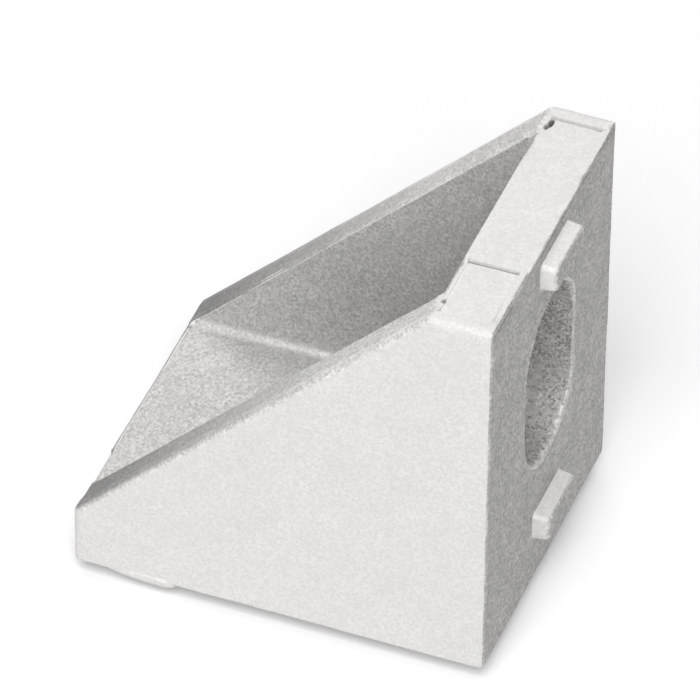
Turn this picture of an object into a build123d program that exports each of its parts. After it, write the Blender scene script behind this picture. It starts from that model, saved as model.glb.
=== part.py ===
"""Die-cast aluminium corner bracket for slotted framing profile.

Two flanges meet at a right angle and a triangular gusset closes each side, so the
bracket is a pocket that is open on its sloping side. Each flange has one flared
slot for a bolt and two locating nubs that drop into the groove of the profile.

Frame: X runs across the width, with the middle at 0. The outer corner line of the
two flanges is the X axis. The foot flange lies along +Y with its mounting face on
Z = 0, and the wall flange stands along +Z with its mounting face on Y = 0.
"""

import os
from math import atan, degrees, sqrt

from build123d import *

os.makedirs("parts", exist_ok=True)

# Driving dimensions, in millimetres and degrees.
leg = 35.0  # outer corner to the free end of either flange
width = 28.0  # across the outsides of both gussets

end_thickness = 5.3  # flange at its free end, and the blunt tip of each gusset
corner_thickness = 7.6  # flange where it meets the other flange
rim_wall = 3.3  # gusset at the open side of the pocket
root_wall = 5.0  # gusset at the bottom of the pocket

corner_radius = 0.5  # outer corner line, between the mounting faces
end_radius = 0.35  # mounting face to end face
tip_radius = 1.1  # end face to sloping side
edge_radius = 0.35  # around the outside of each gusset
pocket_radius = 0.8  # inside corners of the pocket
rim_radius = 0.35  # mouth of the pocket

slot_width = 8.8  # clears an 8 mm bolt
slot_length = 14.2  # end to end
slot_centre = 19.8  # outer corner to the middle of the slot
slot_land = 1.8  # straight part of the slot, next to the pocket
slot_flare = 1.1  # how much wider each side of the slot is at the mounting face
slot_lip_radius = 0.3  # rounding where the flare meets the mounting face

nub_length = 6.4  # across the width, drops into an 8 mm groove
nub_width = 2.6  # along the flange
nub_height = 1.35  # out of the mounting face
nub_draft = 8.0  # slope of the nub's sides
nub_corner_radius = 0.5  # upright corners of a nub
nub_radius = 0.3  # top edge of a nub
end_nub_inset = 2.9  # free end to the middle of the outer nub
corner_nub_inset = 6.1  # outer corner to the middle of the inner nub

# Steps that the die parts leave on each end face.
pad_depth = 0.18  # step between the gusset rims and the middle pad
pad_rim = 1.5  # rim left beside the pad, on the +X gusset
insert_edge = 8.1  # -X side to the line where the deeper step starts
insert_depth = 0.4  # deeper step
insert_rim = 1.2  # rim left beside the deeper step, on the -X gusset
insert_lip = 0.6  # rim left beside the deeper step, at the mounting face
insert_back_lip = 0.4  # rim left beside the deeper step, at the pocket
seam_width = 0.25  # narrow groove at each end of the pad
seam_depth = 0.6  # end face to the bottom of the groove

cutter_overrun = 2.0  # how far a cutter runs past the face that it opens

# The flanges thicken evenly from their free ends to the corner.
flange_slope = (corner_thickness - end_thickness) / (leg - corner_thickness)
slot_thickness = end_thickness + flange_slope * (leg - slot_centre)
flare_depth = slot_thickness - slot_land
flare_angle = degrees(atan(slot_flare / flare_depth))

# The gussets thicken evenly from the sloping side to the bottom of the pocket.
pocket_depth = (leg + end_thickness - 2 * corner_thickness) / sqrt(2)
wall_slope = (root_wall - rim_wall) / pocket_depth

# The sloping side, as a direction and a distance from the outer corner.
open_side = Axis((0, 0, 0), (0, 1, 1))
mouth_level = (leg + end_thickness) / sqrt(2)

# Everything on one flange is on the other as well, mirrored in this plane.
diagonal = Plane(origin=(0, 0, 0), x_dir=(1, 0, 0), z_dir=(0, -1, 1))
foot_mounting_face = Plane(origin=(0, 0, 0), x_dir=(1, 0, 0), z_dir=(0, 0, -1))
foot_end_face = Plane(origin=(0, leg, 0), x_dir=(-1, 0, 0), z_dir=(0, 1, 0))

# The pocket's shape: flange faces from a triangle, gusset faces from a trapezoid.
with BuildPart() as pocket:
    overrun_thickness = end_thickness - flange_slope * cutter_overrun
    with BuildSketch(Plane.YZ):
        with BuildLine():
            Polyline(
                (corner_thickness, corner_thickness),
                (leg + cutter_overrun, overrun_thickness),
                (overrun_thickness, leg + cutter_overrun),
                close=True,
            )
        make_face()
    extrude(amount=width / 2, both=True)
    bottom_line = (0, corner_thickness, corner_thickness)
    with BuildSketch(Plane(origin=bottom_line, x_dir=(1, 0, 0), z_dir=(0, -1, 1))):
        root_half = width / 2 - root_wall
        mouth_half = width / 2 - rim_wall + wall_slope * cutter_overrun
        mouth_depth = pocket_depth + cutter_overrun
        with BuildLine():
            Polyline(
                (-root_half, 0),
                (root_half, 0),
                (mouth_half, mouth_depth),
                (-mouth_half, mouth_depth),
                close=True,
            )
        make_face()
    extrude(amount=leg, both=True, mode=Mode.INTERSECT)
    mouth_edges = pocket.faces().sort_by(open_side)[-1].edges()
    inside_edges = [edge for edge in pocket.edges() if edge not in mouth_edges]
    fillet(inside_edges, radius=pocket_radius)

# One flared slot in each flange.
with BuildPart() as slots:
    with BuildSketch(Plane.XY.offset(-cutter_overrun)):
        with Locations((0, slot_centre)):
            SlotOverall(slot_length, slot_width, rotation=90)
    extrude(amount=slot_thickness + 2 * cutter_overrun)
    with BuildSketch(Plane.XY):
        with Locations((0, slot_centre)):
            SlotOverall(slot_length + 2 * slot_flare, slot_width + 2 * slot_flare, rotation=90)
    extrude(amount=flare_depth, taper=flare_angle)
    mirror(about=diagonal)

# Two nubs on each mounting face.
with BuildPart() as nubs:
    with BuildSketch(foot_mounting_face):
        with Locations((0, -corner_nub_inset), (0, end_nub_inset - leg)):
            RectangleRounded(nub_length, nub_width, nub_corner_radius)
    extrude(amount=nub_height, taper=nub_draft)
    fillet(nubs.faces().group_by(Axis.Z)[0].edges(), radius=nub_radius)
    mirror(about=diagonal)

# The steps on each end face.
with BuildPart() as end_steps:
    with BuildSketch(foot_end_face):
        pad_from = width / 2 - insert_edge
        pad_to = pad_rim - width / 2
        with Locations(((pad_from + pad_to) / 2, end_thickness / 2)):
            Rectangle(pad_from - pad_to, end_thickness + 2 * cutter_overrun)
    extrude(amount=-pad_depth)
    with BuildSketch(foot_end_face):
        insert_from = width / 2 - insert_rim
        insert_middle = (insert_lip + end_thickness - insert_back_lip) / 2
        insert_height = end_thickness - insert_lip - insert_back_lip
        with Locations(((insert_from + pad_from) / 2, insert_middle)):
            Rectangle(insert_from - pad_from, insert_height)
    extrude(amount=-insert_depth)
    with BuildSketch(foot_end_face):
        with Locations(
            (pad_from + seam_width / 2, insert_middle),
            (pad_to + seam_width / 2, insert_middle),
        ):
            Rectangle(seam_width, insert_height)
    extrude(amount=-seam_depth)
    mirror(about=diagonal)

# The casting.
with BuildPart() as corner_bracket:
    with BuildSketch(Plane.YZ) as side:
        with BuildLine():
            Polyline(
                (0, 0),
                (leg, 0),
                (leg, end_thickness),
                (end_thickness, leg),
                (0, leg),
                close=True,
            )
        make_face()
        fillet(side.vertices().sort_by_distance((0, 0))[0], radius=corner_radius)
        fillet(side.vertices().sort_by_distance((leg, 0))[0], radius=end_radius)
        fillet(side.vertices().sort_by_distance((0, leg))[0], radius=end_radius)
        fillet(side.vertices().sort_by_distance((leg, end_thickness))[0], radius=tip_radius)
        fillet(side.vertices().sort_by_distance((end_thickness, leg))[0], radius=tip_radius)
    extrude(amount=width / 2, both=True)
    gusset_faces = corner_bracket.faces().filter_by(Axis.X)
    fillet([edge for face in gusset_faces for edge in face.edges()], radius=edge_radius)
    add(pocket.part, mode=Mode.SUBTRACT)
    mouth = corner_bracket.edges(Select.LAST).filter_by_position(
        open_side, mouth_level - tip_radius, mouth_level + tip_radius
    )
    fillet(mouth, radius=rim_radius)
    add(slots.part, mode=Mode.SUBTRACT)
    slot_edges = corner_bracket.edges(Select.LAST)
    slot_lips = slot_edges.group_by(Axis.Z)[0] + slot_edges.group_by(Axis.Y)[0]
    fillet(slot_lips, radius=slot_lip_radius)
    add(nubs.part)
    add(end_steps.part, mode=Mode.SUBTRACT)

corner_bracket.part.label = "corner_bracket"
export_step(corner_bracket.part, "parts/corner_bracket.step")
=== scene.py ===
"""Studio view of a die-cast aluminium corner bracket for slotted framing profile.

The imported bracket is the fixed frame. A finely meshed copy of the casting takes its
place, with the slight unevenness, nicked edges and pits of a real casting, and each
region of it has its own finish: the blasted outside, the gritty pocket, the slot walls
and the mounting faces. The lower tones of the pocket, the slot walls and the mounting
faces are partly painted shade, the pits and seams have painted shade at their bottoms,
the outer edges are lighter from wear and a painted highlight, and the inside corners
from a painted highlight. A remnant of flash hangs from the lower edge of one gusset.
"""

import logging
import math
from dataclasses import dataclass, field, replace
from enum import Enum
from typing import ClassVar

import bmesh
import bpy
from mathutils import Matrix, Vector, noise


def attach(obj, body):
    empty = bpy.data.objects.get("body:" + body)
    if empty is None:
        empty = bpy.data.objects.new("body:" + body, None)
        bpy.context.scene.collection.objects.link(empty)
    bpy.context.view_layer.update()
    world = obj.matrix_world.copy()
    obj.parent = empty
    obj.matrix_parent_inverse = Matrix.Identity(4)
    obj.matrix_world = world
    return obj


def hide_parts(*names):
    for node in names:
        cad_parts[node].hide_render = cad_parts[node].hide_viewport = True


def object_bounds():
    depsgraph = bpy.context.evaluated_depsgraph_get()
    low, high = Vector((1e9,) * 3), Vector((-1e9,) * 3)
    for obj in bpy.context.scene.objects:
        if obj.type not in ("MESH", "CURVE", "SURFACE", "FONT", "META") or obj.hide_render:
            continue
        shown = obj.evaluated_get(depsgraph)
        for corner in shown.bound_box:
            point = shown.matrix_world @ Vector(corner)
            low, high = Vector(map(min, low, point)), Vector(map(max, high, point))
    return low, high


log = logging.getLogger("corner_bracket")

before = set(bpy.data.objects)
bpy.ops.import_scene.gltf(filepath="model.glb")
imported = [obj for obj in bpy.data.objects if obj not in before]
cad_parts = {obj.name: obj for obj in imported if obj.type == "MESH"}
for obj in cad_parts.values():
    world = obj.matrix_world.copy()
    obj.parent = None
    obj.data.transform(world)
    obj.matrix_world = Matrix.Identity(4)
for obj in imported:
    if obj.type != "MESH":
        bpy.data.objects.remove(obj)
CAD_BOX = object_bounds()

MM = 0.001
AXES = (Vector((1.0, 0.0, 0.0)), Vector((0.0, 1.0, 0.0)), Vector((0.0, 0.0, 1.0)))

# Names of the two values that each point of the casting carries to its materials: the edge
# mark, and the painted shade at the bottoms of the pits and the seams.
EDGE_MARK = "edge"
SHADE_MARK = "grime"

# Moves the noise of the nicks away from that of the waves.
NICK_OFFSET = Vector((7.0, 3.0, 5.0))

# How a face has to be tilted, as parts of its normal: a wall of a slot at most this much
# towards the mounting face, a seat at least this much, a rim at least this much up and out.
SLOT_TILT = 0.75
SEAT_TILT = -0.5
RIM_TILT = 0.25

# In metres: points nearer than this are one point, and a cut snaps to points this near.
SAME_POINT = 1e-7
CUT_SNAP = 2e-6


class Region(Enum):
    """The regions of the casting, in the order of its material slots."""

    SKIN = 0
    POCKET = 1
    SLOT = 2
    SEAT = 3
    RIM = 4


@dataclass(frozen=True)
class CastFinish:
    """How one region of the bare casting looks.

    Attributes:
        tone: mean reflectance of the metal, 0 to 1; the lower tones of the pocket, the slot
            walls and the seats are partly painted shade.
        roughness: mean roughness of the surface.
        metallic: how metallic the surface reflects.
        grain_mm: size of the fine grain.
        grain_height_mm: depth of the fine grain.
        grit_height_mm: depth of the coarser grit.
        speckle: how much the tone changes from grain to grain.
        mottle: how much the tone drifts over some millimetres.
        streak: how much the drag marks along the draw change the tone.
        edge_wear_and_highlight: how much lighter outer edges are, from wear and a painted
            highlight.
    """

    tone: float
    roughness: float
    metallic: float
    grain_mm: float
    grain_height_mm: float
    grit_height_mm: float
    speckle: float
    mottle: float
    streak: float
    edge_wear_and_highlight: float


# The lower tones of the pocket, the slot walls and the seats are partly painted shade.
FINISHES = {
    Region.SKIN: CastFinish(0.77, 0.78, 0.20, 0.20, 0.018, 0.007, 0.11, 0.05, 0.00, 0.00),
    Region.POCKET: CastFinish(0.505, 0.52, 0.50, 0.18, 0.018, 0.007, 0.27, 0.07, 0.04, 0.16),
    Region.SLOT: CastFinish(0.40, 0.72, 0.25, 0.18, 0.028, 0.012, 0.42, 0.08, 0.00, 0.22),
    Region.SEAT: CastFinish(0.41, 0.60, 0.38, 0.20, 0.024, 0.009, 0.30, 0.16, 0.04, 0.18),
    Region.RIM: CastFinish(0.76, 0.70, 0.25, 0.20, 0.022, 0.008, 0.38, 0.08, 0.00, 0.12),
}

# The bare metal is a very little warmer than grey: red, green and blue of a tone of 1.
METAL_TINT = (1.0, 0.992, 0.975)


class NodeTree:
    """Short calls that add nodes to a shader tree and link them."""

    def __init__(self, tree: bpy.types.NodeTree) -> None:
        """Wrap a node tree.

        Args:
            tree: the tree that the nodes go into.
        """
        self.tree = tree

    def add(self, kind: str, **settings: object) -> bpy.types.Node:
        """Add a node.

        Args:
            kind: the node's type name.
            settings: attributes to set on it.

        Returns:
            The new node.
        """
        node = self.tree.nodes.new(kind)
        for name, value in settings.items():
            setattr(node, name, value)
        return node

    def link(self, source: bpy.types.NodeSocket, target: bpy.types.NodeSocket) -> None:
        """Link two sockets."""
        self.tree.links.new(source, target)

    def math(self, operation: str, first: object, second: object) -> bpy.types.NodeSocket:
        """Add a math node.

        Args:
            operation: the math node's operation.
            first: a socket or a number.
            second: a socket or a number.

        Returns:
            The node's output socket.
        """
        node = self.add("ShaderNodeMath", operation=operation)
        for socket, value in zip(node.inputs, (first, second)):
            if isinstance(value, bpy.types.NodeSocket):
                self.link(value, socket)
            else:
                socket.default_value = value
        return node.outputs[0]

    def total(self, *parts: object) -> bpy.types.NodeSocket:
        """Add up sockets or numbers, and give the socket of the sum."""
        result = parts[0]
        for part in parts[1:]:
            result = self.math("ADD", result, part)
        return result


class CastGrainAndPaintedLight:
    """The grain of a blasted casting, its painted highlights and its darkening, as one node group.
    """

    NAME = "cast_grain_and_painted_light"
    INPUTS = {
        "Tone": 0.7,
        "Roughness": 0.5,
        "Grain Scale": 3000.0,
        "Grain Height": 0.5,
        "Grit Height": 0.5,
        "Speckle": 0.1,
        "Mottle": 0.05,
        "Streak": 0.0,
        "Edge": 0.0,
        "Edge Wear And Highlight": 0.1,
        "Grime": 0.0,
    }

    # Scales of the patches and of the slow drift, against the grain's.
    PATCH_SCALE = 0.11
    DRIFT_SCALE = 0.045
    # What centres the cells' distances and their random tones round zero.
    CELL_MIDDLE = 0.4
    FACET_MIDDLE = 0.5
    # The drag marks run along the draw, which leaves the pocket at this turn about X.
    DRAW_TURN_DEG = 45.0
    DRAW_SCALE = (900.0, 40.0, 900.0)
    DRAW_HEIGHT = 0.06
    # Inside corners are calmer, and a painted highlight makes them a little lighter.
    INNER_CALM = 0.7
    INNER_HIGHLIGHT = 0.04
    # The mean shares of the speckle and of the edges' wear and painted highlight, round which
    # the patches swing.
    SPECKLE_SHARE = 0.8
    WEAR_AND_HIGHLIGHT_SHARE = 1.0
    # How the grain and the wear change the roughness.
    GRAIN_ROUGHNESS = 0.25
    WEAR_ROUGHNESS = -0.8
    # How strongly each finer layer of a noise counts.
    LAYER_FADE = 0.62

    def __init__(self) -> None:
        """Build the group once."""
        self.group = bpy.data.node_groups.new(self.NAME, "ShaderNodeTree")
        face = self.group.interface
        face.new_socket("Vector", in_out="INPUT", socket_type="NodeSocketVector")
        for name, value in self.INPUTS.items():
            socket = face.new_socket(name, in_out="INPUT", socket_type="NodeSocketFloat")
            socket.default_value = value
        face.new_socket("Color", in_out="OUTPUT", socket_type="NodeSocketColor")
        face.new_socket("Roughness", in_out="OUTPUT", socket_type="NodeSocketFloat")
        face.new_socket("Height", in_out="OUTPUT", socket_type="NodeSocketFloat")
        self._wire()

    def _wire(self) -> None:
        """Join the noises into a colour, a roughness and a height."""
        tree = NodeTree(self.group)
        given = tree.add("NodeGroupInput").outputs
        result = tree.add("NodeGroupOutput").inputs
        vector, scale = given["Vector"], given["Grain Scale"]

        fine = self._noise(tree, vector, scale, detail=3.0)
        patch_scale = tree.math("MULTIPLY", scale, self.PATCH_SCALE)
        patch = self._noise(tree, vector, patch_scale, detail=2.0)
        drift_scale = tree.math("MULTIPLY", scale, self.DRIFT_SCALE)
        drift = self._noise(tree, vector, drift_scale, detail=3.0)

        grit = tree.add("ShaderNodeTexVoronoi")
        tree.link(vector, grit.inputs["Vector"])
        tree.link(scale, grit.inputs["Scale"])
        cell = tree.math("SUBTRACT", grit.outputs["Distance"], self.CELL_MIDDLE)
        facet = tree.add("ShaderNodeSeparateColor")
        tree.link(grit.outputs["Color"], facet.inputs["Color"])
        glint = tree.math("SUBTRACT", facet.outputs["Red"], self.FACET_MIDDLE)

        along = tree.add("ShaderNodeMapping")
        along.inputs["Rotation"].default_value = (math.radians(self.DRAW_TURN_DEG), 0.0, 0.0)
        along.inputs["Scale"].default_value = self.DRAW_SCALE
        tree.link(vector, along.inputs["Vector"])
        marks = self._noise(tree, along.outputs["Vector"], 1.0, detail=2.0)

        # The edge mark is 1 on outer edges, which are worn and carry a painted highlight, and -1
        # in inside corners.
        inner = tree.math("MAXIMUM", tree.math("MULTIPLY", given["Edge"], -1.0), 0.0)
        calm = tree.math("SUBTRACT", 1.0, tree.math("MULTIPLY", inner, self.INNER_CALM))
        outer = tree.math("MAXIMUM", given["Edge"], 0.0)
        worn_and_highlit = tree.math("MULTIPLY", outer, given["Edge Wear And Highlight"])

        # Grains stand out more in some patches than in others.
        spread = tree.math("ADD", patch, self.SPECKLE_SHARE)
        spread = tree.math("MULTIPLY", given["Speckle"], spread)
        spread = tree.math("MULTIPLY", spread, calm)
        tone = tree.total(
            given["Tone"],
            tree.math("MULTIPLY", tree.math("ADD", fine, glint), spread),
            tree.math("MULTIPLY", tree.math("ADD", drift, patch), given["Mottle"]),
            tree.math("MULTIPLY", marks, given["Streak"]),
            # Outer edges: lighter from wear and from a painted highlight.
            tree.math("MULTIPLY", worn_and_highlit, tree.math("ADD", patch, self.WEAR_AND_HIGHLIGHT_SHARE)),
            # Inside corners: painted highlight.
            tree.math("MULTIPLY", inner, self.INNER_HIGHLIGHT),
        )
        # Darkening lowers the tone: painted shade in the pits and seams, and the rims' darkening
        # towards their low ends.
        tone = tree.math("MULTIPLY", tone, tree.math("SUBTRACT", 1.0, given["Grime"]))
        colour = tree.add("ShaderNodeCombineColor")
        for channel, share in zip(colour.inputs, METAL_TINT):
            tree.link(tree.math("MULTIPLY", tone, share), channel)
        tree.link(colour.outputs["Color"], result["Color"])

        rough = tree.total(
            given["Roughness"],
            tree.math("MULTIPLY", fine, self.GRAIN_ROUGHNESS),
            tree.math("MULTIPLY", worn_and_highlit, self.WEAR_ROUGHNESS),
        )
        tree.link(rough, result["Roughness"])

        height = tree.total(
            tree.math("MULTIPLY", fine, given["Grain Height"]),
            tree.math("MULTIPLY", cell, given["Grit Height"]),
            tree.math("MULTIPLY", marks, tree.math("MULTIPLY", given["Streak"], self.DRAW_HEIGHT)),
        )
        tree.link(tree.math("MULTIPLY", height, calm), result["Height"])

    def _noise(
        self, tree: NodeTree, vector: bpy.types.NodeSocket, scale: object, detail: float
    ) -> bpy.types.NodeSocket:
        """Add a noise that swings evenly round zero.

        Args:
            tree: where the node goes.
            vector: the coordinates.
            scale: a socket or a number.
            detail: how many finer layers it has.

        Returns:
            The socket of the centred noise.
        """
        node = tree.add("ShaderNodeTexNoise")
        node.inputs["Detail"].default_value = detail
        node.inputs["Roughness"].default_value = self.LAYER_FADE
        tree.link(vector, node.inputs["Vector"])
        if isinstance(scale, bpy.types.NodeSocket):
            tree.link(scale, node.inputs["Scale"])
        else:
            node.inputs["Scale"].default_value = scale
        return tree.math("SUBTRACT", node.outputs["Fac"], 0.5)


class CastMaterials:
    """The materials of the casting, one for each region."""

    # The rims' darkening towards their low ends: where it fades in from the outer edge,
    # between which heights it fades out, and how strong it is at these heights.
    RIM_DARK_EDGE_MM = (0.05, 0.50)
    RIM_DARK_HEIGHT_MM = (7.0, 27.0)
    RIM_DARK_STRENGTH = (0.66, 0.10)

    def __init__(self) -> None:
        """Make the shared grain and every finish."""
        self.grain = CastGrainAndPaintedLight()
        self.materials = {region: self._dress(region, FINISHES[region]) for region in Region}

    def _dress(self, region: Region, look: CastFinish) -> bpy.types.Material:
        """Make the finish of one region.

        Args:
            region: which region it is for.
            look: its values.

        Returns:
            The material.
        """
        material = bpy.data.materials.new("cast_" + region.name.lower())
        material.use_nodes = True
        tree = NodeTree(material.node_tree)
        shader = material.node_tree.nodes["Principled BSDF"]
        shader.inputs["Metallic"].default_value = look.metallic

        place = tree.add("ShaderNodeTexCoord")
        edge = tree.add("ShaderNodeAttribute", attribute_name=EDGE_MARK)
        grime = tree.add("ShaderNodeAttribute", attribute_name=SHADE_MARK)
        grain = tree.add("ShaderNodeGroup", node_tree=self.grain.group)
        tree.link(place.outputs["Object"], grain.inputs["Vector"])
        tree.link(edge.outputs["Fac"], grain.inputs["Edge"])
        # Painted shade at the bottoms of the pits and the seams, read from the mesh.
        tone_drop = grime.outputs["Fac"]
        # On the rims the tone also gets darker towards their low ends.
        if region is Region.RIM:
            low_end_dark = self._rim_low_end_darkening(tree, place.outputs["Object"])
            tone_drop = tree.math("MAXIMUM", tone_drop, low_end_dark)
        tree.link(tone_drop, grain.inputs["Grime"])
        values = {
            "Tone": look.tone,
            "Roughness": look.roughness,
            "Grain Scale": 1.0 / (look.grain_mm * MM),
            "Grain Height": look.grain_height_mm,
            "Grit Height": look.grit_height_mm,
            "Speckle": look.speckle,
            "Mottle": look.mottle,
            "Streak": look.streak,
            "Edge Wear And Highlight": look.edge_wear_and_highlight,
        }
        for name, value in values.items():
            grain.inputs[name].default_value = value

        bump = tree.add("ShaderNodeBump")
        bump.inputs["Strength"].default_value = 1.0
        bump.inputs["Distance"].default_value = MM
        tree.link(grain.outputs["Height"], bump.inputs["Height"])
        tree.link(grain.outputs["Color"], shader.inputs["Base Color"])
        tree.link(grain.outputs["Roughness"], shader.inputs["Roughness"])
        tree.link(bump.outputs["Normal"], shader.inputs["Normal"])
        return material

    def _rim_low_end_darkening(self, tree: NodeTree, place: bpy.types.NodeSocket) -> bpy.types.NodeSocket:
        """Darken the gussets' rims towards their low ends, fading at the outer edges.

        Args:
            tree: where the nodes go.
            place: the object coordinates, in metres.

        Returns:
            The socket of the darkening's strength.
        """
        split = tree.add("ShaderNodeSeparateXYZ")
        tree.link(place, split.inputs["Vector"])
        aside = tree.math("SUBTRACT", CAD_BOX[1].x, tree.math("ABSOLUTE", split.outputs["X"], 0.0))
        shares = []
        for socket, limits, strengths in (
            (aside, self.RIM_DARK_EDGE_MM, (0.0, 1.0)),
            (split.outputs["Z"], self.RIM_DARK_HEIGHT_MM, self.RIM_DARK_STRENGTH),
        ):
            band = tree.add("ShaderNodeMapRange")
            for name, value in (
                ("From Min", limits[0] * MM),
                ("From Max", limits[1] * MM),
                ("To Min", strengths[0]),
                ("To Max", strengths[1]),
            ):
                band.inputs[name].default_value = value
            tree.link(socket, band.inputs["Value"])
            shares.append(band.outputs["Result"])
        return tree.math("MULTIPLY", *shares)


def slice_mesh(
    work: bmesh.types.BMesh, parts: list[object], place: Vector, normal: Vector
) -> list[object]:
    """Cut parts of a mesh along a plane.

    Args:
        work: the mesh.
        parts: the points, edges and faces to cut.
        place: a point of the plane.
        normal: the plane's direction.

    Returns:
        The parts, with the new points, edges and faces.
    """
    cut = bmesh.ops.bisect_plane(
        work, geom=parts, dist=CUT_SNAP, plane_co=place, plane_no=normal
    )
    return cut["geom"]


@dataclass(frozen=True)
class Pit:
    """A small pit in the casting.

    Attributes:
        centre_mm: its middle, on the surface.
        push: the direction in which it goes into the metal.
        radius_mm: its reach.
        depth_mm: its depth.
        grime: how dark the painted shade at its bottom is.
        stretch: how many times longer than wide it is, along X.
    """

    centre_mm: tuple[float, float, float]
    push: tuple[float, float, float]
    radius_mm: float = 0.5
    depth_mm: float = 0.6
    grime: float = 0.85
    stretch: float = 1.0

    # The cuts of the fine patch: how far out they go and where, in radii of the pit.
    PATCH_REACH: ClassVar[float] = 1.1
    PATCH_CUTS: ClassVar[tuple[float, ...]] = tuple(step / 4.0 for step in range(-4, 5))
    # How fast the painted shade reaches its full strength towards the bottom.
    SHADE_RISE: ClassVar[float] = 1.6

    def mirrored(self) -> "Pit":
        """The same pit on the other flange."""
        x, y, z = self.centre_mm
        u, v, w = self.push
        return replace(self, centre_mm=(x, z, y), push=(u, w, v))

    def refine(self, work: bmesh.types.BMesh) -> None:
        """Cut the mesh finely where the pit goes.

        Args:
            work: the mesh.
        """
        centre = Vector(self.centre_mm) * MM
        reach = Vector((self.stretch, 1.0, 1.0)) * (self.PATCH_REACH * self.radius_mm * MM)
        low, high = centre - reach, centre + reach
        faces = [face for face in work.faces if self._touches(face, low, high)]
        edges = dict.fromkeys(edge for face in faces for edge in face.edges)
        verts = dict.fromkeys(vert for face in faces for vert in face.verts)
        near = [*verts, *edges, *faces]
        for normal in AXES:
            for share in self.PATCH_CUTS:
                near = slice_mesh(work, near, centre + reach * share, normal)

    @staticmethod
    def _touches(face: bmesh.types.BMFace, low: Vector, high: Vector) -> bool:
        """Say whether the box round a face meets another box.

        Args:
            face: the face.
            low: the other box's low corner.
            high: the other box's high corner.

        Returns:
            Whether they meet.
        """
        points = [vert.co for vert in face.verts]
        return all(
            min(point[axis] for point in points) < high[axis]
            and max(point[axis] for point in points) > low[axis]
            for axis in range(3)
        )

    def press(self, work: bmesh.types.BMesh) -> None:
        """Push the mesh in.

        Args:
            work: the mesh.
        """
        centre = Vector(self.centre_mm) * MM
        way = Vector(self.push).normalized()
        mark = work.verts.layers.float[SHADE_MARK]
        for vert in work.verts:
            off = vert.co - centre
            off.x /= self.stretch
            out = off.length / (self.radius_mm * MM)
            if out < 1.0:
                share = 1.0 - out * out
                vert.co += way * (self.depth_mm * MM * share * share)
                # Painted shade at the bottom of the pit.
                vert[mark] = max(vert[mark], self.grime * min(1.0, self.SHADE_RISE * share))


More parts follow.
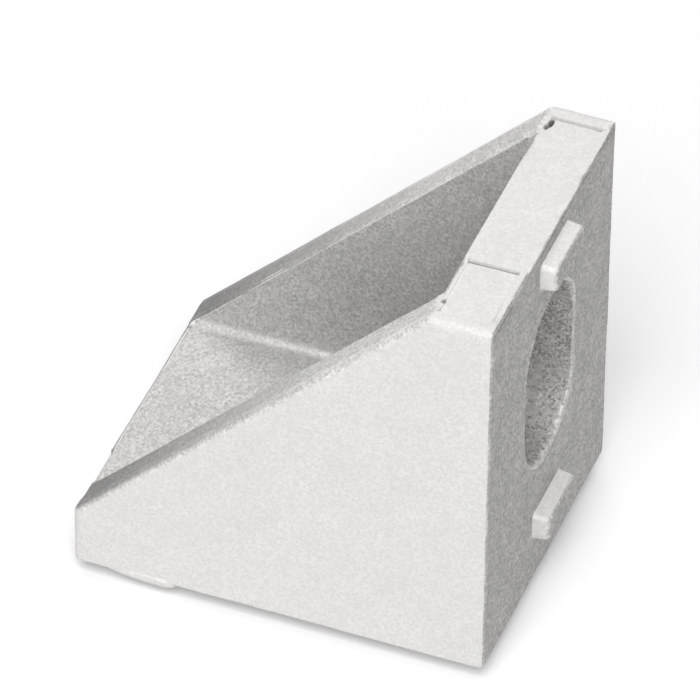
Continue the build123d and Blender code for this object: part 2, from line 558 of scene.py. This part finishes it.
@dataclass
class Casting:
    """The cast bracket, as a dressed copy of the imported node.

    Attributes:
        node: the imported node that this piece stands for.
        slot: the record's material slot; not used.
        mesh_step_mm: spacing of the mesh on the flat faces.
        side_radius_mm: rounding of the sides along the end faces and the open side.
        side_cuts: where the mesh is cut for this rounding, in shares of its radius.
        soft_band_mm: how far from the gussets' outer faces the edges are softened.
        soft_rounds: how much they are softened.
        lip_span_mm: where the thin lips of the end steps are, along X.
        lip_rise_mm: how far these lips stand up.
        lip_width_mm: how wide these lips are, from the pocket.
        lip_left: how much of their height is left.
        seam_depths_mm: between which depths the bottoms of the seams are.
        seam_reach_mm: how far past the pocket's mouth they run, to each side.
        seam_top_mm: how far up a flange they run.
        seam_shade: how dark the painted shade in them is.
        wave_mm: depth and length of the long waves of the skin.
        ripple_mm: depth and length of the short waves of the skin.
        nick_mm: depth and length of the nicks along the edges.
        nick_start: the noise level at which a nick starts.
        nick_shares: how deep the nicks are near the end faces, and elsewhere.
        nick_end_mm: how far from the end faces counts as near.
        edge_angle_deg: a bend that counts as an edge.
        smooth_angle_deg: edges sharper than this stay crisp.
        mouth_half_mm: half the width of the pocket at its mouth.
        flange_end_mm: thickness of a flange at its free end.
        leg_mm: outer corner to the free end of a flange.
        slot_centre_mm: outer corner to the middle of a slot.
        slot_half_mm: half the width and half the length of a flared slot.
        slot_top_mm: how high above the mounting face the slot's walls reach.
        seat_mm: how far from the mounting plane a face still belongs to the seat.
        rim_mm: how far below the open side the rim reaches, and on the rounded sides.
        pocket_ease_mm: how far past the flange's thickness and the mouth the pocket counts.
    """

    node: str = "corner_bracket"
    slot: str = "cast_aluminium"
    mesh_step_mm: float = 0.8
    side_radius_mm: float = 0.7
    side_cuts: tuple[float, ...] = (0.2, 0.55, 1.0)
    soft_band_mm: float = 0.8
    soft_rounds: int = 4
    lip_span_mm: tuple[float, float] = (-12.75, -5.95)
    lip_rise_mm: float = 0.4
    lip_width_mm: float = 0.45
    lip_left: float = 0.3
    seam_depths_mm: tuple[float, float] = (0.5, 0.7)
    seam_reach_mm: float = 3.0
    seam_top_mm: float = 5.0
    seam_shade: float = 0.45
    wave_mm: tuple[float, float] = (0.045, 6.0)
    ripple_mm: tuple[float, float] = (0.016, 1.8)
    nick_mm: tuple[float, float] = (0.07, 2.4)
    nick_start: float = 0.05
    nick_shares: tuple[float, float] = (2.0, 0.8)
    nick_end_mm: float = 1.0
    edge_angle_deg: float = 5.0
    smooth_angle_deg: float = 32.0
    mouth_half_mm: float = 10.7
    flange_end_mm: float = 5.3
    leg_mm: float = 35.0
    slot_centre_mm: float = 19.8
    slot_half_mm: tuple[float, float] = (5.6, 8.3)
    slot_top_mm: float = 6.6
    seat_mm: float = 0.12
    rim_mm: tuple[float, float] = (0.35, 1.3)
    pocket_ease_mm: tuple[float, float] = (0.15, 0.1)
    piece: bpy.types.Object = field(init=False)

    def build(self) -> None:
        """Copy the node's mesh, mesh it finely and give it a cast skin."""
        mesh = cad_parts[self.node].data.copy()
        mesh.name = "casting"
        work = bmesh.new()
        work.from_mesh(mesh)
        bmesh.ops.remove_doubles(work, verts=work.verts, dist=SAME_POINT)
        self._cut(work)
        self._round_sides(work)
        pits = self._pits()
        for pit in pits:
            pit.refine(work)
        work.verts.layers.float.new(SHADE_MARK)
        self._mark_edges(work)
        self._soften(work)
        self._wear_lips(work)
        self._paint_seam_shade(work)
        self._roughen(work)
        for pit in pits:
            pit.press(work)
        self._shade(work)
        work.to_mesh(mesh)
        work.free()
        self.piece = bpy.data.objects.new("casting", mesh)
        bpy.context.scene.collection.objects.link(self.piece)
        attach(self.piece, "root")
        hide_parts(self.node)

    def _pits(self) -> list[Pit]:
        """List the pits at the pocket's mouth and the knocks along the outer edge.

        Returns:
            The pits of both flange ends.
        """
        half, thick, leg = self.mouth_half_mm, self.flange_end_mm, self.leg_mm
        inward = (0.0, -0.6, -0.8)
        knock = (0.0, 1.0, -0.6)
        wall = [
            Pit((-half - 0.5, thick - 0.3, leg), inward, 0.42, 0.5, 0.9),
            Pit((half + 0.55, thick - 0.42, leg - 0.05), inward, 0.3, 0.3, 0.8, 1.6),
            Pit((half + 1.1, thick - 0.6, leg - 0.1), inward, 0.3, 0.35, 0.9, 2.4),
            Pit((6.7, 0.1, leg), knock, 0.7, 0.2, 0.0, 1.4),
            Pit((2.0, 0.1, leg), knock, 0.8, 0.24, 0.0, 1.5),
            Pit((-1.8, 0.1, leg), knock, 0.7, 0.16, 0.0, 1.6),
        ]
        return wall + [pit.mirrored() for pit in wall]

    def _cut(self, work: bmesh.types.BMesh) -> None:
        """Cut the mesh on a grid of planes, so that its flat faces are fine too.

        Args:
            work: the mesh.
        """
        low, high = CAD_BOX
        step = self.mesh_step_mm * MM
        for axis, normal in enumerate(AXES):
            level = low[axis] + step / 2.0
            while level < high[axis]:
                slice_mesh(work, self._parts(work), normal * level, normal)
                level += step
        for normal, level in self._rounding_planes():
            slice_mesh(work, self._parts(work), normal * level * MM, normal)

    @staticmethod
    def _parts(work: bmesh.types.BMesh) -> list[object]:
        """All points, edges and faces of a mesh."""
        return work.verts[:] + work.edges[:] + work.faces[:]

    def _outer_faces(self) -> list[tuple[Vector, float]]:
        """Give the outer planes that the sides are rounded against.

        Returns:
            Directions and distances, in millimetres, of the end faces and the open side.
        """
        slope = (AXES[1] + AXES[2]).normalized()
        return [
            (AXES[1], self.leg_mm),
            (AXES[2], self.leg_mm),
            (slope, (self.leg_mm + self.flange_end_mm) / math.sqrt(2.0)),
        ]

    def _rounding_planes(self) -> list[tuple[Vector, float]]:
        """Give the planes that cut the mesh finely where the sides are rounded.

        Returns:
            Their directions and distances, in millimetres.
        """
        half = CAD_BOX[1].x / MM
        faces = self._outer_faces() + [(AXES[0], half), (-AXES[0], half)]
        return [
            (normal, level - share * self.side_radius_mm)
            for normal, level in faces
            for share in self.side_cuts
        ]

    def _round_sides(self, work: bmesh.types.BMesh) -> None:
        """Round the sides' edges along the end faces and the open side.

        Args:
            work: the mesh.
        """
        radius = self.side_radius_mm * MM
        faces = [(normal, level * MM) for normal, level in self._outer_faces()]
        for vert in work.verts:
            aside = CAD_BOX[1].x - abs(vert.co.x)
            if aside > radius:
                continue
            depth, normal = min(
                ((level - vert.co.dot(normal), normal) for normal, level in faces),
                key=lambda pair: pair[0],
            )
            off = Vector((radius - aside, radius - depth))
            if depth > radius or off.length <= radius:
                continue
            goal = off * (radius / off.length)
            vert.co -= normal * (off.y - goal.y)
            vert.co.x -= math.copysign(off.x - goal.x, vert.co.x)

    def _mark_edges(self, work: bmesh.types.BMesh) -> None:
        """Mark the points on outer edges with 1 and those in inside corners with -1.

        Args:
            work: the mesh.
        """
        mark = work.verts.layers.float.new(EDGE_MARK)
        limit = math.radians(self.edge_angle_deg)
        bends = [(edge, edge.calc_face_angle_signed(0.0)) for edge in work.edges]
        for edge, bend in bends:
            if bend < -limit:
                for vert in edge.verts:
                    vert[mark] = -1.0
        for edge, bend in bends:
            if bend > limit:
                for vert in edge.verts:
                    vert[mark] = 1.0

    def _soften(self, work: bmesh.types.BMesh) -> None:
        """Soften the outer edges of the gussets.

        Args:
            work: the mesh.
        """
        inner = CAD_BOX[1].x - self.soft_band_mm * MM
        verts = [vert for vert in work.verts if abs(vert.co.x) > inner]
        for _ in range(self.soft_rounds):
            bmesh.ops.smooth_vert(
                work, verts=verts, factor=0.5, use_axis_x=True, use_axis_y=True, use_axis_z=True
            )

    def _wear_lips(self, work: bmesh.types.BMesh) -> None:
        """Wear down the thin lips between the deeper end steps and the pocket.

        Args:
            work: the mesh.
        """
        low, high = self.lip_span_mm
        floor = (self.leg_mm - self.lip_rise_mm) * MM
        edge = (self.flange_end_mm - self.lip_width_mm) * MM
        for vert in work.verts:
            if low * MM < vert.co.x < high * MM:
                for end, side in ((1, 2), (2, 1)):
                    if vert.co[end] > floor and vert.co[side] > edge:
                        vert.co[end] = floor + (vert.co[end] - floor) * self.lip_left

    def _paint_seam_shade(self, work: bmesh.types.BMesh) -> None:
        """Paint a little shade into the bottoms of the seams.

        Args:
            work: the mesh.
        """
        mark = work.verts.layers.float[SHADE_MARK]
        least, most = self.seam_depths_mm
        reach = self.mouth_half_mm + self.seam_reach_mm
        for vert in work.verts:
            x, y, z = vert.co / MM
            depth = self.leg_mm - max(y, z)
            if least < depth < most and abs(x) < reach and min(y, z) < self.seam_top_mm:
                # Painted shade in the crease at the bottom of the seam.
                vert[mark] = self.seam_shade

    def _roughen(self, work: bmesh.types.BMesh) -> None:
        """Make the skin slightly uneven and nick its edges.

        Args:
            work: the mesh.
        """
        mark = work.verts.layers.float[EDGE_MARK]
        near_share, far_share = self.nick_shares
        end_from = (self.leg_mm - self.nick_end_mm) * MM
        work.normal_update()
        moves = []
        for vert in work.verts:
            place = vert.co / MM
            rise = 0.0
            for depth, length in (self.wave_mm, self.ripple_mm):
                rise += depth * noise.noise(place / length)
            depth, length = self.nick_mm
            nick = max(0.0, noise.noise(place / length + NICK_OFFSET) - self.nick_start)
            near_end = max(vert.co.y, vert.co.z) > end_from
            rise -= max(0.0, vert[mark]) * depth * nick * (near_share if near_end else far_share)
            moves.append(vert.normal * rise * MM)
        for vert, move in zip(work.verts, moves):
            vert.co += move

    def _shade(self, work: bmesh.types.BMesh) -> None:
        """Smooth the shading, but not across crisp edges.

        Args:
            work: the mesh.
        """
        limit = math.radians(self.smooth_angle_deg)
        for face in work.faces:
            face.smooth = True
        for edge in work.edges:
            edge.smooth = edge.is_manifold and edge.calc_face_angle(0.0) < limit

    def dress(self, materials: CastMaterials) -> None:
        """Give each face the finish of its region.

        Args:
            materials: the finishes.
        """
        mesh = self.piece.data
        mesh.materials.clear()
        for region in Region:
            mesh.materials.append(materials.materials[region])
        for face in mesh.polygons:
            centre = face.center / MM
            face.material_index = self._region(centre, face.normal).value

    def _region(self, at: Vector, normal: Vector) -> Region:
        """Say which region a face belongs to.

        Args:
            at: the middle of the face, in millimetres.
            normal: its outward direction.

        Returns:
            The region.
        """
        for along, up, tilt in ((at.y, at.z, normal.z), (at.z, at.y, normal.y)):
            beside = abs(at.x) < self.slot_half_mm[0]
            beside = beside and abs(along - self.slot_centre_mm) < self.slot_half_mm[1]
            if beside and self.seat_mm < up < self.slot_top_mm and abs(tilt) < SLOT_TILT:
                return Region.SLOT
            if up < self.seat_mm and tilt < SEAT_TILT:
                return Region.SEAT
        flange_ease, mouth_ease = self.pocket_ease_mm
        flat_rim, side_rim = self.rim_mm
        inside = min(at.y, at.z) > self.flange_end_mm - flange_ease
        slope = self.leg_mm + self.flange_end_mm - at.y - at.z
        aside = CAD_BOX[1].x / MM - abs(at.x)
        reach = side_rim if aside < self.side_radius_mm else flat_rim
        if slope < reach and min(normal.y, normal.z) > RIM_TILT:
            return Region.RIM
        if inside and slope > flat_rim and abs(at.x) < self.mouth_half_mm + mouth_ease:
            return Region.POCKET
        return Region.SKIN


@dataclass
class FlashRemnant:
    """What is left of the flash on the lower edge of the -X gusset.

    Attributes:
        centre_mm: its lowest point, level with the edge.
        half_mm: half its width, length and height.
        tail: how many times longer its run towards the free end is.
        lump_mm: depth and length of its lumps.
        chip_mm: reach, place along the edge and height of the chip that juts out.
        chip_squash: how much lower than long the chip is.
    """

    centre_mm: tuple[float, float, float] = (-13.6, 27.2, 0.12)
    half_mm: tuple[float, float, float] = (0.55, 1.0, 0.66)
    tail: float = 5.2
    lump_mm: tuple[float, float] = (0.16, 0.9)
    chip_mm: tuple[float, float, float] = (0.22, 0.1, 0.22)
    chip_squash: float = 1.5
    piece: bpy.types.Object = field(init=False)

    def build(self) -> None:
        """Make a lumpy drop that sits in the edge."""
        work = bmesh.new()
        bmesh.ops.create_uvsphere(work, u_segments=48, v_segments=32, radius=1.0)
        bmesh.ops.scale(work, vec=self.half_mm, verts=work.verts)
        depth, length = self.lump_mm
        for vert in work.verts:
            vert.co *= 1.0 + depth * noise.noise(vert.co / length)
        ahead = [vert for vert in work.verts if vert.co.y > 0.0]
        bmesh.ops.scale(work, vec=(1.0, self.tail, 1.0), verts=ahead)
        reach, along, height = self.chip_mm
        span = reach * 2.0
        for vert in work.verts:
            off = Vector((vert.co.y - along, self.chip_squash * (vert.co.z - height))).length
            if vert.co.x < 0.0 and off < span:
                vert.co.x -= reach * (1.0 - off / span)
        bmesh.ops.translate(work, vec=self.centre_mm, verts=work.verts)
        bmesh.ops.scale(work, vec=(MM, MM, MM), verts=work.verts)
        for face in work.faces:
            face.smooth = True
        mesh = bpy.data.meshes.new("flash_remnant")
        work.to_mesh(mesh)
        work.free()
        self.piece = bpy.data.objects.new("flash_remnant", mesh)
        bpy.context.scene.collection.objects.link(self.piece)
        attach(self.piece, "root")

    def dress(self, materials: CastMaterials) -> None:
        """Give it the finish of the casting's outside."""
        self.piece.data.materials.append(materials.materials[Region.SKIN])


@dataclass(frozen=True)
class Lamp:
    """A square soft lamp that faces the bracket.

    Attributes:
        name: its name.
        place: where it hangs, in metres.
        size: its side, in metres.
        power: its power, in watts.
    """

    name: str
    place: tuple[float, float, float]
    size: float
    power: float

    def build(self) -> None:
        """Hang the lamp."""
        data = bpy.data.lights.new(self.name, "AREA")
        data.size = self.size
        data.energy = self.power
        lamp = bpy.data.objects.new(self.name, data)
        lamp.location = self.place
        lamp.rotation_euler = (-Vector(self.place)).to_track_quat("-Z", "Y").to_euler()
        bpy.context.scene.collection.objects.link(lamp)


@dataclass
class Studio:
    """The floor, the even light and the lamps.

    Attributes:
        floor_half: half the side of the floor, in metres.
        floor_tone: reflectance of the floor as it lights the bracket.
        shown_tone: reflectance of the floor as it shows.
        shown_glow: light that lifts the shown floor to white.
        world_strength: level of the even light from all sides.
        lamps: the lamps.
    """

    floor_half: float = 2.0
    floor_tone: float = 0.80
    shown_tone: float = 1.0
    shown_glow: float = 0.13
    world_strength: float = 0.12
    lamps: tuple[Lamp, ...] = (
        Lamp("key", (-0.52, -0.12, 0.69), 0.65, 7.4),
        Lamp("fill", (0.48, 0.14, 0.68), 0.60, 1.6),
    )

    def build(self) -> None:
        """Make the floor, the world and the lamps."""
        self._floor()
        self._world()
        for lamp in self.lamps:
            lamp.build()

    def _floor(self) -> None:
        """Lay the floor under the lowest point of the bracket."""
        work = bmesh.new()
        bmesh.ops.create_grid(work, x_segments=1, y_segments=1, size=self.floor_half)
        bmesh.ops.translate(work, verts=work.verts, vec=(0.0, 0.0, CAD_BOX[0].z))
        mesh = bpy.data.meshes.new("floor")
        work.to_mesh(mesh)
        work.free()
        floor = bpy.data.objects.new("floor", mesh)
        bpy.context.scene.collection.objects.link(floor)
        mesh.materials.append(self._paper())

    def _paper(self) -> bpy.types.Material:
        """Make the floor's white paper, which shows white apart from the shadow.

        Returns:
            The material.
        """
        material = bpy.data.materials.new("floor_paper")
        material.use_nodes = True
        tree = NodeTree(material.node_tree)
        shader = material.node_tree.nodes["Principled BSDF"]
        seen = self._seen(tree)
        paper = tree.add("ShaderNodeMix", data_type="RGBA")
        paper.inputs["A"].default_value = (self.floor_tone,) * 3 + (1.0,)
        paper.inputs["B"].default_value = (self.shown_tone,) * 3 + (1.0,)
        tree.link(seen, paper.inputs["Factor"])
        tree.link(paper.outputs["Result"], shader.inputs["Base Color"])
        shader.inputs["Roughness"].default_value = 0.9
        shader.inputs["Specular IOR Level"].default_value = 0.1
        shader.inputs["Emission Color"].default_value = (1.0, 1.0, 1.0, 1.0)
        glow = tree.math("MULTIPLY", seen, self.shown_glow)
        tree.link(glow, shader.inputs["Emission Strength"])
        return material

    def _world(self) -> None:
        """Surround the set with even light that shows as white."""
        world = bpy.data.worlds.new("studio")
        bpy.context.scene.world = world
        world.use_nodes = True
        tree = NodeTree(world.node_tree)
        shade = world.node_tree.nodes["Background"]
        level = tree.add("ShaderNodeMix", data_type="FLOAT")
        level.inputs["A"].default_value = self.world_strength
        level.inputs["B"].default_value = 1.0
        tree.link(self._seen(tree), level.inputs["Factor"])
        tree.link(level.outputs["Result"], shade.inputs["Strength"])
        shade.inputs["Color"].default_value = (1.0, 1.0, 1.0, 1.0)

    @staticmethod
    def _seen(tree: NodeTree) -> bpy.types.NodeSocket:
        """Tell the rays that show the set, straight or in a reflection, from its light.

        Args:
            tree: where the nodes go.

        Returns:
            The socket that is 1 for those rays.
        """
        path = tree.add("ShaderNodeLightPath").outputs
        return tree.total(
            path["Is Camera Ray"], path["Is Glossy Ray"], path["Is Transmission Ray"]
        )


@dataclass
class Camera:
    """The camera, aimed at the middle of the bracket.

    Attributes:
        azimuth_deg: turn round the bracket from the -Y side.
        elevation_deg: height above the floor.
        roll_deg: turn about the line of sight.
        distance: from the middle of the bracket, in metres.
        lens_mm: focal length for a 36 mm sensor.
    """

    azimuth_deg: float = -69.4
    elevation_deg: float = 41.1
    roll_deg: float = 0.8
    distance: float = 0.678
    lens_mm: float = 440.0

    def build(self) -> None:
        """Place the camera and make it the scene's own."""
        low, high = CAD_BOX
        centre = (low + high) / 2.0
        turn, lift = math.radians(self.azimuth_deg), math.radians(self.elevation_deg)
        back = Vector(
            (
                math.sin(turn) * math.cos(lift),
                -math.cos(turn) * math.cos(lift),
                math.sin(lift),
            )
        )
        data = bpy.data.cameras.new("camera")
        data.sensor_width = 36.0
        data.lens = self.lens_mm
        data.clip_start = 0.01
        camera = bpy.data.objects.new("camera", data)
        aim = (-back).to_track_quat("-Z", "Y").to_matrix().to_4x4()
        roll = Matrix.Rotation(math.radians(self.roll_deg), 4, "Z")
        camera.matrix_world = Matrix.Translation(centre + back * self.distance) @ aim @ roll
        bpy.context.scene.collection.objects.link(camera)
        bpy.context.scene.camera = camera


def main() -> None:
    """Build the bracket and the studio."""
    logging.basicConfig(level=logging.INFO, format="%(name)s: %(message)s")
    materials = CastMaterials()
    for part in (Casting(), FlashRemnant()):
        part.build()
        part.dress(materials)
        log.info("%s: %d faces", part.piece.name, len(part.piece.data.polygons))
    Studio().build()
    Camera().build()
    bpy.context.scene.view_settings.view_transform = "Standard"


if __name__ == "__main__":
    main()
